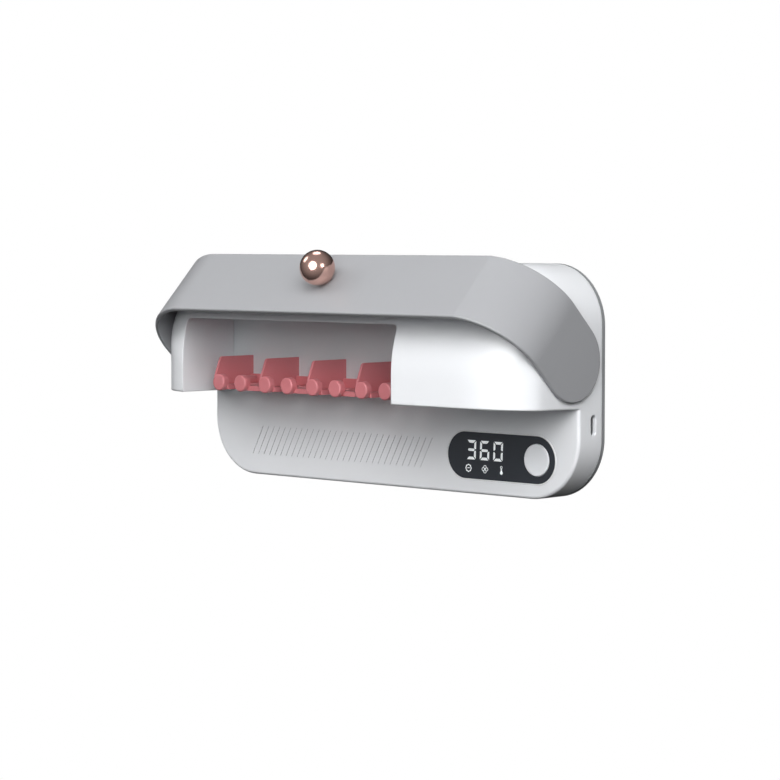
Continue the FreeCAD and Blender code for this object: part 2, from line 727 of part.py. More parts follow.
def flip_cover():
    tall = V(0, 0, 2 * COVER_HALF_H)
    outer = Part.Face(cover_plan(0.0)).extrude(tall)
    inner_plan = Part.Face(cover_plan(COVER_T))
    inner = inner_plan.extrude(tall)
    band = outer.cut(inner).common(fuse([
        rod_x(-SIDE_X - 10, SIDE_X + 10, PIVOT_D, PIVOT_Z, COVER_HALF_H),
        box(-SIDE_X - 10, SIDE_X + 10, PIVOT_D, PIVOT_D + COVER_REACH + 1,
            PIVOT_Z - COVER_HALF_H, PIVOT_Z + COVER_HALF_H),
    ]))
    band = band.removeSplitter()
    band = soften(band, COVER_EDGE_R, is_cover_rim)
    tools = [rod_x(-SIDE_X - COVER_GAP - 1.2, SIDE_X + COVER_GAP + 1.2, PIVOT_D, PIVOT_Z, PIN_R)]
    front = PIVOT_D + COVER_REACH
    tools.append(rod_d(front - 5, front + 5, 0.0, PIVOT_Z + KNOB_Z, KNOB_SCREW_R + 0.1))
    return swing_open(cut(band, tools))


def is_cover_rim(edge):
    """Rim edges of the cover's outer skin: the top, bottom and lobe outlines."""
    outer = Part.Face(cover_plan(0.0)).extrude(V(0, 0, 2 * COVER_HALF_H))
    middle = edge.valueAt((edge.FirstParameter + edge.LastParameter) / 2)
    on_skin = min(face.distToShape(Part.Vertex(middle))[0] for face in outer.Faces[:5]) < 1e-3
    half_h = COVER_HALF_H
    on_rim = edge_lies(edge, "z", PIVOT_Z - half_h) or edge_lies(edge, "z", PIVOT_Z + half_h)
    from_pivot = math.hypot(middle.y + PIVOT_D, middle.z - PIVOT_Z)
    on_lobe = middle.y > -PIVOT_D + 1 and abs(from_pivot - half_h) < 1e-3
    return on_skin and (on_rim or on_lobe) and edge.Length > 1.0


def cover_knob():
    front = PIVOT_D + COVER_REACH
    z = PIVOT_Z + KNOB_Z
    centre_d = front + KNOB_NECK_H + math.sqrt(KNOB_R ** 2 - KNOB_NECK_R ** 2)
    ball = Part.makeSphere(KNOB_R, V(0, -centre_d, z))
    ball = ball.cut(box(-20, 20, 0, front + KNOB_NECK_H, z - 20, z + 20))
    neck = rod_d(front, front + KNOB_NECK_H + 0.5, 0.0, z, KNOB_NECK_R)
    tapped = rod_d(front - 1, front + 8, 0.0, z, KNOB_SCREW_R + 0.05)
    return swing_open(ball.fuse(neck).cut(tapped))


def knob_screw():
    seat_d = PIVOT_D + COVER_REACH - COVER_T
    return swing_open(screw_from_back(0.0, PIVOT_Z + KNOB_Z, seat_d, 2.9, 1.1, KNOB_SCREW_R, 8.5))


# ---- hinge ----
def hinge_pin(side):
    tail = PIN_TAIL if side < 0 else PIN_TAIL - 4.4
    pin = rod_x(tail, PIN_TIP, PIVOT_D, PIVOT_Z, PIN_R)
    pin = soften(pin, 0.5, lambda edge: edge_lies(edge, "x", tail))
    groove = rod_x(CLIP_X0, CLIP_X1, PIVOT_D, PIVOT_Z, PIN_R + 1)
    groove = groove.cut(rod_x(CLIP_X0 - 1, CLIP_X1 + 1, PIVOT_D, PIVOT_Z, CLIP_GROOVE_R))
    return swing_open(mirrored(pin.cut(groove), side))


def hinge_bush(side):
    tube = rod_x(SIDE_X - BUSH_IN, SIDE_X + 0.1, PIVOT_D, PIVOT_Z, BUSH_R)
    return mirrored(tube.cut(rod_x(HINGE_BORE_X0, HINGE_BORE_X1, PIVOT_D, PIVOT_Z, PIN_R + PIN_RUN)), side)


def friction_washer(side):
    ring = rod_x(WASHER_X0, WASHER_X1, PIVOT_D, PIVOT_Z, WASHER_R)
    return mirrored(ring.cut(rod_x(HINGE_BORE_X0, HINGE_BORE_X1, PIVOT_D, PIVOT_Z, PIN_R + 0.1)), side)


def retaining_clips():
    clips = []
    for side in (-1, 1):
        ring = rod_x(CLIP_X0, CLIP_X1, PIVOT_D, PIVOT_Z, CLIP_R)
        ring = ring.cut(rod_x(HINGE_BORE_X0, HINGE_BORE_X1, PIVOT_D, PIVOT_Z, CLIP_GROOVE_R + 0.02))
        gap = box(HINGE_BORE_X0, HINGE_BORE_X1, PIVOT_D - 1.2, PIVOT_D + 1.2, PIVOT_Z - 6, PIVOT_Z)
        clips.append(swing_open(mirrored(ring.cut(gap), side)))
    return group(clips)


def hinge_cam():
    """Cam on the right pin that works the lid switch."""
    disc = rod_x(CAM_X0, CAM_X1, PIVOT_D, PIVOT_Z, CAM_R)
    flat = box(HINGE_BORE_X0, HINGE_BORE_X1, PIVOT_D - 9, PIVOT_D - 3.9, PIVOT_Z - 10, PIVOT_Z + 10)
    bore = rod_x(HINGE_BORE_X0, HINGE_BORE_X1, PIVOT_D, PIVOT_Z, PIN_R)
    return swing_open(cut(disc, [flat, bore]))


def lid_switch():
    """Snap switch below the cam."""
    top = PIVOT_Z - CAM_R - 0.5
    body = box(112.4, 118.4, PIVOT_D - 6.4, PIVOT_D + 6.4, top - 7.6, top - 1.0)
    tip = rod_z(top - 1.2, top - 0.1, (CAM_X0 + CAM_X1) / 2, PIVOT_D, 1.1)
    holes = [rod_x(110, 120, PIVOT_D + s * 3.2, top - 6.0, 1.0) for s in (-1, 1)]
    return cut(body.fuse(tip), holes)


# ---- controls ----
def display_window():
    plate = slab(CONTROL_W, CONTROL_H, CONTROL_H / 2, FACE_D - WINDOW_T, FACE_D, CONTROL_X, CONTROL_Z)
    return plate.cut(rod_d(0, 40, BUTTON_X, CONTROL_Z, BUTTON_R + BUTTON_GAP))


def display_bezel():
    outer = slab(CONTROL_W + 2 * BEZEL_W, CONTROL_H + 2 * BEZEL_W, CONTROL_H / 2 + BEZEL_W,
                 FACE_D - WINDOW_T, FACE_D + 0.3, CONTROL_X, CONTROL_Z)
    ring = outer.cut(slab(CONTROL_W, CONTROL_H, CONTROL_H / 2, 0, 40, CONTROL_X, CONTROL_Z))
    return soften(ring, 0.2, lambda edge: edge_lies(edge, "y", -FACE_D - 0.3))


def segment_outlines(cx):
    """Seven mitred bars of one digit as (x, z) polygons."""
    half_w = DIGIT_W / 2
    half_h = DIGIT_H / 2
    t = SEGMENT_W
    g = SEGMENT_GAP

    def level(z_out, z_in):
        left, right = cx - half_w + g, cx + half_w - g
        return [(left, z_out), (right, z_out), (right - t, z_in), (left + t, z_in)]

    def upright(side, z_out, z_mid):
        x_out, x_in = cx + side * half_w, cx + side * (half_w - t)
        slope = t if z_out > z_mid else -t
        clear = g if z_out > z_mid else -g
        return [(x_out, z_out - clear), (x_in, z_out - slope - clear), (x_in, z_mid + slope / 2 + clear),
                (x_out, z_mid + clear * 1.5)]

    top, mid, low = DIGIT_Z + half_h, DIGIT_Z, DIGIT_Z - half_h
    bar = t / 2
    tip = half_w - t * 0.55
    flat = half_w - t * 1.05
    middle = [(cx - tip, mid), (cx - flat, mid + bar), (cx + flat, mid + bar),
              (cx + tip, mid), (cx + flat, mid - bar), (cx - flat, mid - bar)]
    return {
        "a": level(top, top - t), "d": level(low, low + t), "g": middle,
        "f": upright(-1, top, mid), "b": upright(1, top, mid),
        "e": upright(-1, low, mid), "c": upright(1, low, mid),
    }


def display_digits():
    bars = []
    for index, figure in enumerate("360"):
        outlines = segment_outlines(DIGIT_X0 + index * DIGIT_PITCH)
        for name in LIT[figure]:
            bars.append(polygon_d(outlines[name], FACE_D, FACE_D + INK_T))
    return group(bars)


def ring_d(x, z, r_out, r_in):
    return rod_d(FACE_D, FACE_D + INK_T, x, z, r_out).cut(rod_d(FACE_D - 1, FACE_D + 1, x, z, r_in))


def display_icons():
    """Lamp, fan and thermometer marks below the digits."""
    marks = []
    lamp_x, fan_x, heat_x = ICON_X
    marks.append(ring_d(lamp_x, ICON_Z, 1.25, 0.95))
    for index in range(8):
        ray = box(lamp_x + 1.5, lamp_x + 2.05, FACE_D, FACE_D + INK_T, ICON_Z - 0.2, ICON_Z + 0.2)
        ray.rotate(V(lamp_x, -FACE_D, ICON_Z), Y_AXIS, 45 * index)
        marks.append(ray)
    for index in range(4):
        blade = ring_d(fan_x + 1.15, ICON_Z, 0.95, 0.66)
        blade.rotate(V(fan_x, -FACE_D, ICON_Z), Y_AXIS, 90 * index)
        marks.append(blade)
    stem = slab(0.7, 3.4, 0.35, FACE_D, FACE_D + INK_T, heat_x, ICON_Z + 0.6)
    bulb = rod_d(FACE_D, FACE_D + INK_T, heat_x, ICON_Z - 1.2, 0.85)
    marks.append(stem.fuse(bulb).removeSplitter())
    return group(marks)


def display_board():
    return slab(66.0, 26.0, 3.0, DISPLAY_BOARD_D0, DISPLAY_BOARD_D1, CONTROL_X - 2.5, CONTROL_Z)


def display_module():
    """Digit block whose face sits just behind the window."""
    face_d = FACE_D - WINDOW_T - 0.2
    body = box(50.0, 84.0, DISPLAY_BOARD_D1, face_d, CONTROL_Z - 9.2, CONTROL_Z + 9.2)
    return soften(body, 0.6, lambda edge: edge_lies(edge, "y", -face_d))


def power_button():
    """Mushroom: dished cap in the window, retaining flange behind, short stem to the switch."""
    face_d = FACE_D + BUTTON_RISE
    cap = rod_d(16.6, face_d, BUTTON_X, CONTROL_Z, BUTTON_R)
    cap = soften(cap, 0.45, lambda edge: edge_lies(edge, "y", -face_d))
    dish_r = 90.0
    dish_depth = 0.25
    dish = Part.makeSphere(dish_r, V(BUTTON_X, -(face_d - dish_depth + dish_r), CONTROL_Z))
    flange = rod_d(16.4, FACE_D - WINDOW_T - 0.2, BUTTON_X, CONTROL_Z, BUTTON_R + 1.4)
    stem = rod_d(BUTTON_STEM_D, 17.0, BUTTON_X, CONTROL_Z, 1.7)
    return cut(fuse([cap, flange, stem]), [dish])


def button_switch():
    body = box(BUTTON_X - 3, BUTTON_X + 3, DISPLAY_BOARD_D1, SWITCH_D1, CONTROL_Z - 3, CONTROL_Z + 3)
    return body.cut(rod_d(DISPLAY_BOARD_D1 + 0.8, 20, BUTTON_X, CONTROL_Z, 1.35))


def switch_plunger():
    return rod_d(SWITCH_D1 - 1.6, BUTTON_STEM_D, BUTTON_X, CONTROL_Z, 1.25)


# ---- boards, battery and port ----
def main_board():
    plate = box(BOARD_X0, BOARD_X1, BOARD_D0, BOARD_D1, BOARD_Z0, BOARD_Z1)
    return cut(plate, [rod_d(0, 20, x, z, 1.3) for x, z in board_holes()])


def board_components():
    """Controller, power inductor, capacitors and the four lead sockets."""
    parts = [box(-4, 5, BOARD_D1, BOARD_D1 + 1.1, -38, -29)]
    parts.append(box(12, 19, BOARD_D1, BOARD_D1 + 4, -37, -30))
    parts += [rod_d(BOARD_D1, BOARD_D1 + 6, x, -42, 2.5) for x in (12.0, 19.0)]
    parts.append(box(-24, -14, BOARD_D1, BOARD_D1 + 5, -36, -31))
    parts.append(box(22, 30, BOARD_D1, BOARD_D1 + 5, -28, -23.5))
    for x in (UV_LEAD_X, FAN_LEAD_X):
        parts.append(box(x - 3.5, x + 3.5, BOARD_D1, BOARD_D1 + 4.2, -25, LEAD_TOP_Z))
    return group(parts)


def board_screws():
    return group([screw_from_back(x, z, BOARD_D0, 2.2, 1.3, 1.05, 7.5) for x, z in board_holes()])


def battery_tape():
    x0, x1 = BATTERY_X0 + TAPE_INSET, BATTERY_X1 - TAPE_INSET
    return box(x0, x1, RIM_D, RIM_D + TAPE_T, BATTERY_Z0 + 5, TAPE_Z1)


def battery_pack():
    """Flat lithium cell on a foot that the tape holds to the rear cover."""
    cell = box(BATTERY_X0, BATTERY_X1, BATTERY_D0, BATTERY_D1, BATTERY_Z0, BATTERY_Z1)
    cell = soften(cell, 1.8, lambda edge: edge.BoundBox.XLength > 10)
    foot = box(BATTERY_X0 + TAPE_INSET, BATTERY_X1 - TAPE_INSET, RIM_D + TAPE_T, BATTERY_D0 + 0.5,
               BATTERY_Z0 + 5, TAPE_Z1)
    return fuse([cell, foot])


def port_profile(length, width, x0, x1):
    core = box(x0, x1, PORT_D - width / 2, PORT_D + width / 2,
               PORT_Z - length / 2 + width / 2, PORT_Z + length / 2 - width / 2)
    ends = [rod_x(x0, x1, PORT_D, PORT_Z + s * (length - width) / 2, width / 2) for s in (-1, 1)]
    return fuse([core] + ends)


def usb_port():
    shell = port_profile(PORT_SHELL_W, PORT_SHELL_H, 116.6, SIDE_X - PORT_RECESS)
    bore = port_profile(PORT_SHELL_W - 0.6, PORT_SHELL_H - 0.6, 117.2, SIDE_X + 1)
    return shell.cut(bore)


def usb_tongue():
    return box(117.2, SIDE_X - PORT_RECESS - 0.7, PORT_D - 0.35, PORT_D + 0.35, PORT_Z - 3.3, PORT_Z + 3.3)


def charge_board():
    back_d = PORT_D + PORT_SHELL_H / 2
    return box(98.0, 121.0, back_d, back_d + 1.0, PORT_Z - 6.5, PORT_Z + 7.0)


# ---- fan and heater ----
def air_duct():
    half = DUCT_SIZE / 2
    x0, x1 = CHAMBER_X1 + LINER_T, FAN_X
    outer = box(x0, x1, FAN_D - half, FAN_D + half, FAN_Z - half, FAN_Z + half)
    hollow = half - DUCT_WALL
    return outer.cut(box(x0 - 1, x1 + 1, FAN_D - hollow, FAN_D + hollow, FAN_Z - hollow, FAN_Z + hollow))


def heater_core():
    """Two ceramic bars with a pack of fins across them, between end plates."""
    x0, x1 = HEATER_X0, HEATER_X1
    half = DUCT_SIZE / 2 - DUCT_WALL - 0.1
    z0, z1 = FAN_Z - half, FAN_Z + half
    bars = []
    plates = []
    for side in (-1, 1):
        z = FAN_Z + side * 5.2
        bars.append(box(x0, x1, FAN_D - half, FAN_D + half, z - 1.3, z + 1.3))
        d = FAN_D + side * (half - 0.5)
        plates.append(box(x0, x1, d - 0.5, d + 0.5, z0, z1))
    fins = []
    for index in range(HEATER_FINS):
        d = FAN_D - half + 2.4 + index * (2 * half - 4.8) / (HEATER_FINS - 1)
        fins.append(box(x0 + 0.4, x1 - 0.4, d - 0.25, d + 0.25, z0, z1))
    return fuse(bars + plates + fins)


def fan_frame():
    half = FAN_SIZE / 2
    body = box(FAN_X, FAN_X + FAN_T, FAN_D - half, FAN_D + half, FAN_Z - half, FAN_Z + half)
    body = soften(body, 2.0, lambda edge: edge.BoundBox.XLength > FAN_T - 0.1)
    body = body.cut(rod_x(FAN_X - 1, FAN_X + FAN_T + 1, FAN_D, FAN_Z, FAN_BORE_R))
    hub = rod_x(FAN_X, FAN_X + 5.5, FAN_D, FAN_Z, 3.0)
    arms = []
    for index in range(3):
        arm = box(FAN_X, FAN_X + 1.6, FAN_D - 1, FAN_D + 1, FAN_Z, FAN_Z + FAN_BORE_R + 0.4)
        arm.rotate(V(0, -FAN_D, FAN_Z), X_AXIS, 120 * index)
        arms.append(arm)
    disc = rod_x(FAN_X, FAN_X + 1.6, FAN_D, FAN_Z, 6.5)
    body = fuse([body, hub, disc] + arms)
    corners = [(FAN_D + a * 12, FAN_Z + b * 12) for a in (-1, 1) for b in (-1, 1)]
    holes = [rod_x(FAN_X - 1, FAN_X + FAN_T + 1, d, z, 1.4) for d, z in corners]
    return cut(body, holes + [rod_x(FAN_X + 0.6, FAN_X + 20, FAN_D, FAN_Z, FAN_SHAFT_R + PIN_RUN)])


def fan_rotor():
    """Cup-shaped hub with seven curved blades."""
    x0, x1 = FAN_X + 2.4, FAN_X + FAN_T - 0.6
    hub = rod_x(x0, x1, FAN_D, FAN_Z, FAN_HUB_R).cut(rod_x(x0 - 1, x1 - 1.2, FAN_D, FAN_Z, FAN_HUB_R - 1.4))
    core = rod_x(x1 - 2.4, x1, FAN_D, FAN_Z, 2.2)
    blades = []
    tip = FAN_BORE_R - 0.7
    for index in range(FAN_BLADES):
        blade = box(x0 + 0.4, x1 - 0.4, FAN_D - 0.45, FAN_D + 0.45, FAN_Z + FAN_HUB_R - 0.6, FAN_Z + tip)
        blade.rotate(V((x0 + x1) / 2, -FAN_D, FAN_Z + tip), Z_AXIS, 38)
        blade.rotate(V(0, -FAN_D, FAN_Z), X_AXIS, 360 * index / FAN_BLADES)
        blades.append(blade.common(rod_x(x0, x1, FAN_D, FAN_Z, tip)))
    rotor = fuse([hub, core] + blades)
    return rotor.cut(rod_x(x0 - 1, x1 - 0.6, FAN_D, FAN_Z, FAN_SHAFT_R))


def fan_shaft():
    return rod_x(FAN_X + 1.0, FAN_X + FAN_T - 1.2, FAN_D, FAN_Z, FAN_SHAFT_R)


def intake_filter():
    """Foam strip lying on the inside of the sloping underside."""
    strip = box(INTAKE_X0 - 3, INTAKE_X1 + 3, 27, 53, BULGE_Z, BULGE_Z + WALL + BULGE_RISE + 2.0)
    return strip.common(bulge_solid(WALL, FACE_D))


# ---- wall bracket ----
def adhesive_pad():
    pad = slab(BRACKET_W - 4, BRACKET_H - 4, 3.0, 0.0, PAD_T)
    return cut(pad, [rod_d(-1, 2, s * WALL_SCREW_SPACING / 2, 0.0, 5.0) for s in (-1, 1)])


def wall_bracket():
    plate = slab(BRACKET_W, BRACKET_H, 4.0, PAD_T, PAD_T + BRACKET_T)
    face = PAD_T + BRACKET_T
    floor_front = POCKET_D + POCKET_FLOOR
    hooks = []
    for side in (-1, 1):
        x0, x1 = side * HOOK_X - HOOK_W / 2, side * HOOK_X + HOOK_W / 2
        hooks.append(box(x0, x1, face - 0.1, floor_front + 0.4, HOOK_Z0, HOOK_Z0 + HOOK_NECK_H))
        hooks.append(box(x0, x1, floor_front + 0.4, floor_front + 2.0, HOOK_Z0, HOOK_Z0 + HOOK_LIP_H))
    body = fuse([plate] + hooks)
    tools = []
    for side in (-1, 1):
        x = side * WALL_SCREW_SPACING / 2
        tools.append(rod_d(-1, 6, x, 0.0, WALL_SCREW_R))
        tools.append(Part.makeCone(4.2, WALL_SCREW_R, 1.2, V(x, -face, 0.0), Y_AXIS))
    return cut(body, tools)


# ---- inner leads ----
def battery_lead():
    return lead([(BATTERY_X1, 11.0, -22.0), (-33.0, 11.0, -22.0),
                 (-33.0, 13.0, -33.5), (-24.0, 13.0, -33.5)], LEAD_R)


def display_lead():
    return lead([(30.0, 12.4, -26.0), (45.5, 12.4, -26.0), (45.5, DISPLAY_BOARD_D1, -26.0)], LEAD_R)


def uv_lead():
    top = UV_BOARD_Z + 0.6
    return lead([(UV_LEAD_X, LEAD_D, LEAD_TOP_Z), (UV_LEAD_X, LEAD_D, top),
                 (UV_LEAD_X, UV_D - 6, top)], LEAD_R)


def fan_lead():
    fan_mid = FAN_X + FAN_T / 2
    return lead([(FAN_LEAD_X, LEAD_D, LEAD_TOP_Z), (FAN_LEAD_X, LEAD_D, 0.0), (fan_mid, LEAD_D, 0.0),
                 (fan_mid, FAN_D - FAN_SIZE / 2, 0.0)], LEAD_R)


NODES = {
    "wall_bracket": wall_bracket,
    "adhesive_pad": adhesive_pad,
    "rear_cover": rear_cover,
    "rear_gasket": gasket_ring,
    "case_screws": case_screws,
    "front_housing": front_housing,
    "chamber_liner": chamber_liner,
    "uv_window": uv_window,
    "uv_board": uv_board,
    "uv_leds": uv_leds,
    "uv_screws": uv_screws,
    "brush_holder": brush_holder,
    "holder_screws": holder_screws,
    "flip_cover": flip_cover,
    "cover_knob": cover_knob,
    "knob_screw": knob_screw,
    "hinge_pin_left": lambda: hinge_pin(-1),
    "hinge_pin_right": lambda: hinge_pin(1),
    "hinge_bush_left": lambda: hinge_bush(-1),
    "hinge_bush_right": lambda: hinge_bush(1),
    "friction_washer_left": lambda: friction_washer(-1),
    "friction_washer_right": lambda: friction_washer(1),
    "retaining_clips": retaining_clips,
    "hinge_cam": hinge_cam,
    "lid_switch": lid_switch,
    "display_window": display_window,
    "display_bezel": display_bezel,
    "display_digits": display_digits,
    "display_icons": display_icons,
    "display_board": display_board,
    "display_module": display_module,
    "power_button": power_button,
    "switch_plunger": switch_plunger,
    "button_switch": button_switch,
    "main_board": main_board,
    "board_components": board_components,
    "board_screws": board_screws,
    "battery_tape": battery_tape,
    "battery_pack": battery_pack,
    "battery_lead": battery_lead,
    "display_lead": display_lead,
    "uv_lead": uv_lead,
    "fan_lead": fan_lead,
    "usb_port": usb_port,
    "usb_tongue": usb_tongue,
    "charge_board": charge_board,
    "air_duct": air_duct,
    "heater_core": heater_core,
    "fan_frame": fan_frame,
    "fan_rotor": fan_rotor,
    "fan_shaft": fan_shaft,
    "intake_filter": intake_filter,
}


def main():
    os.makedirs("parts", exist_ok=True)
    for name, make in NODES.items():
        shape = make()
        solids = len(shape.Solids)
        bounds = shape.BoundBox
        state = "ok" if shape.isValid() and solids else "BAD"
        print(f"{state} {name}: {solids} solid(s), {shape.Volume:.1f} mm3, "
              f"x {bounds.XMin:.1f}..{bounds.XMax:.1f}, y {bounds.YMin:.1f}..{bounds.YMax:.1f}, "
              f"z {bounds.ZMin:.1f}..{bounds.ZMax:.1f}")
        shape.exportStep(f"parts/{name}.step")


main()
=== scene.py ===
import math

import bmesh
import bpy
from mathutils import Matrix, Vector


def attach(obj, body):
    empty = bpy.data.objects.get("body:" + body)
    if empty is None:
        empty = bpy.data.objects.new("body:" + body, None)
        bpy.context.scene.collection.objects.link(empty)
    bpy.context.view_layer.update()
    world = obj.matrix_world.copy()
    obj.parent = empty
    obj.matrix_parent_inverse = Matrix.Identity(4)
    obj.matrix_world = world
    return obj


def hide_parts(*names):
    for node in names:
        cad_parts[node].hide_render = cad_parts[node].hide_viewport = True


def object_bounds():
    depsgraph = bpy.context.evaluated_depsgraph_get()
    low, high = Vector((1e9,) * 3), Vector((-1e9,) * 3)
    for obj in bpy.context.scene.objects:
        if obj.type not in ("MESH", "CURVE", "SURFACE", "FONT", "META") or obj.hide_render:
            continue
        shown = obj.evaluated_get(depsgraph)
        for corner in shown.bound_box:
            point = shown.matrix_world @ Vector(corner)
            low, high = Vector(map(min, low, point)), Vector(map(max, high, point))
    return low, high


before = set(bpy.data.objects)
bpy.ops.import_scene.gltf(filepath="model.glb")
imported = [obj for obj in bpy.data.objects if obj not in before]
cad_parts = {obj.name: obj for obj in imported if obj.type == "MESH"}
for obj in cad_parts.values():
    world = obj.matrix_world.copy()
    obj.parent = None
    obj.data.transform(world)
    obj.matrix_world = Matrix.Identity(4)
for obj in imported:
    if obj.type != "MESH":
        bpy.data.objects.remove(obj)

cad_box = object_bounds()

MM = 0.001
UNIT = "unit"                 # the body that the case belongs to


def add_object(name, data):
    """A new object in the scene."""
    made = bpy.data.objects.new(name, data)
    bpy.context.scene.collection.objects.link(made)
    return made


# ---- camera ----
CAMERA_AT = Vector((0.8807, -0.9441, 0.0680))
CAMERA_YAW = 43.52            # degrees round from the straight front view
CAMERA_PITCH = 3.40           # degrees down
CAMERA_LENS = 117.9
SENSOR = 36.0
CLIP_NEAR, CLIP_FAR = 0.05, 50.0


def make_camera():
    data = bpy.data.cameras.new("camera")
    data.lens = CAMERA_LENS
    data.sensor_width = SENSOR
    data.clip_start = CLIP_NEAR
    data.clip_end = CLIP_FAR
    camera = add_object("camera", data)
    turn = Matrix.Rotation(math.radians(CAMERA_YAW), 4, "Z")
    tilt = Matrix.Rotation(math.radians(90 - CAMERA_PITCH), 4, "X")
    camera.matrix_world = Matrix.Translation(CAMERA_AT) @ turn @ tilt
    bpy.context.scene.camera = camera


# ---- studio ----
CENTRE = (cad_box[0] + cad_box[1]) / 2
FLOOR_Z = -1.6
FLOOR_SIZE = 14.0
WHITE = (1.0, 1.0, 1.0, 1.0)

# degrees round to the right of the front, degrees up, distance, diameter and power of each lamp
SOFT_LIGHTS = {
    "right": (60, 23, 1.5, 0.9, 10.2),
    "right_high": (45, 40, 1.5, 0.9, 9.2),
    "front_right": (35, 16, 1.5, 0.9, 7.9),
    "front_top": (10, 60, 1.5, 0.9, 3.9),
    "front_left": (-30, 47, 1.5, 0.9, 3.9),
    "front_low": (12, 4, 1.5, 0.9, 2.6),
    "left": (-62, 26, 1.5, 0.8, 5.8),
    "rear": (185, 10, 1.6, 0.9, 10.0),
    "rear_left": (-135, 10, 1.6, 1.0, 6.0),
}
# the same, for the lamps that show only in shiny surfaces
SHINE_LIGHTS = {
    "shine_front": (13.5, 15.1, 1.6, 1.45, 29.0),
    "shine_side": (76.9, 15.5, 1.5, 0.5, 3.5),
    "shine_top": (-125.2, 71.8, 1.3, 0.65, 2.6),
    "shine_left": (-63.1, 35.6, 1.5, 0.65, 2.4),
}
LIT_SIDE = (0.30, -0.72, 0.62)
AMBIENT = 0.40                # what shiny surfaces see towards the lit side
AMBIENT_BEHIND = 0.03         # and away from it
FADE_FROM, FADE_TO = -0.7, 0.9
AMBIENT_SOFT = 0.03           # on everything else
ROOM_COLOUR = (0.96, 0.98, 1.0, 1.0)


def make_lamp(name, place):
    around, up, distance, diameter, power = place
    data = bpy.data.lights.new(name, "AREA")
    data.shape = "DISK"
    data.size = diameter
    data.energy = power
    lamp = add_object(name, data)
    around, up = math.radians(around), math.radians(up)
    towards = Vector((math.sin(around) * math.cos(up), -math.cos(around) * math.cos(up), math.sin(up)))
    lamp.location = CENTRE + towards * distance
    lamp.rotation_mode = "QUATERNION"
    lamp.rotation_quaternion = towards.to_track_quat("Z", "Y")
    return lamp


def make_lights():
    for name, place in SOFT_LIGHTS.items():
        make_lamp(name, place).visible_glossy = False
    for name, place in SHINE_LIGHTS.items():
        make_lamp(name, place).visible_diffuse = False


def make_world():
    """Plain white behind the object; shiny surfaces see a room that is brighter on one side."""
    world = bpy.data.worlds.new("studio")
    bpy.context.scene.world = world
    world.use_nodes = True
    tree = world.node_tree
    tree.nodes.clear()
    path = tree.nodes.new("ShaderNodeLightPath")
    direction = tree.nodes.new("ShaderNodeTexCoord")
    side = tree.nodes.new("ShaderNodeVectorMath")
    side.operation = "DOT_PRODUCT"
    side.inputs[1].default_value = LIT_SIDE
    fade = tree.nodes.new("ShaderNodeMapRange")
    fade.interpolation_type = "SMOOTHSTEP"
    limits = {"From Min": FADE_FROM, "From Max": FADE_TO, "To Min": AMBIENT_BEHIND, "To Max": AMBIENT}
    for name, value in limits.items():
        fade.inputs[name].default_value = value
    seen, lit, soft = [tree.nodes.new("ShaderNodeBackground") for _ in range(3)]
    seen.inputs["Color"].default_value = WHITE
    lit.inputs["Color"].default_value = ROOM_COLOUR
    soft.inputs["Strength"].default_value = AMBIENT_SOFT
    shine = tree.nodes.new("ShaderNodeMixShader")
    mix = tree.nodes.new("ShaderNodeMixShader")
    out = tree.nodes.new("ShaderNodeOutputWorld")
    for source, target in (
        (direction.outputs["Generated"], side.inputs[0]),
        (side.outputs["Value"], fade.inputs["Value"]),
        (fade.outputs["Result"], lit.inputs["Strength"]),
        (path.outputs["Is Glossy Ray"], shine.inputs["Fac"]),
        (soft.outputs[0], shine.inputs[1]),
        (lit.outputs[0], shine.inputs[2]),
        (path.outputs["Is Camera Ray"], mix.inputs["Fac"]),
        (shine.outputs[0], mix.inputs[1]),
        (seen.outputs[0], mix.inputs[2]),
        (mix.outputs[0], out.inputs["Surface"]),
    ):
        tree.links.new(source, target)


def make_floor():
    bpy.ops.mesh.primitive_plane_add(size=FLOOR_SIZE, location=(0.0, 0.0, FLOOR_Z))
    floor = bpy.context.object
    floor.name = "floor"
    material = bpy.data.materials.new("floor")
    material.use_nodes = True
    tree = material.node_tree
    tree.nodes.clear()
    glow = tree.nodes.new("ShaderNodeEmission")
    glow.inputs["Color"].default_value = WHITE
    out = tree.nodes.new("ShaderNodeOutputMaterial")
    tree.links.new(glow.outputs[0], out.inputs["Surface"])
    floor.data.materials.append(material)
    floor.visible_diffuse = False
    floor.visible_glossy = False


# ---- materials ----
NOISE_LOW, NOISE_HIGH = 0.3, 0.7      # nearly all of a noise lies between these
TONE_SIZE = 0.05              # metres across the slow drifts of tone
GLOSS_SIZE = 0.006            # across the changes of gloss
SKIN_SIZE = 0.0012            # and across the fine texture
BEVEL_SAMPLES = 6
SCATTER = (0.002, 0.002, 0.002)       # how far light spreads inside, for each colour
MARK_ROUGHNESS = 0.4
MARK_DIMMEST = 0.85           # the least of a mark's brightness, as a part of the most


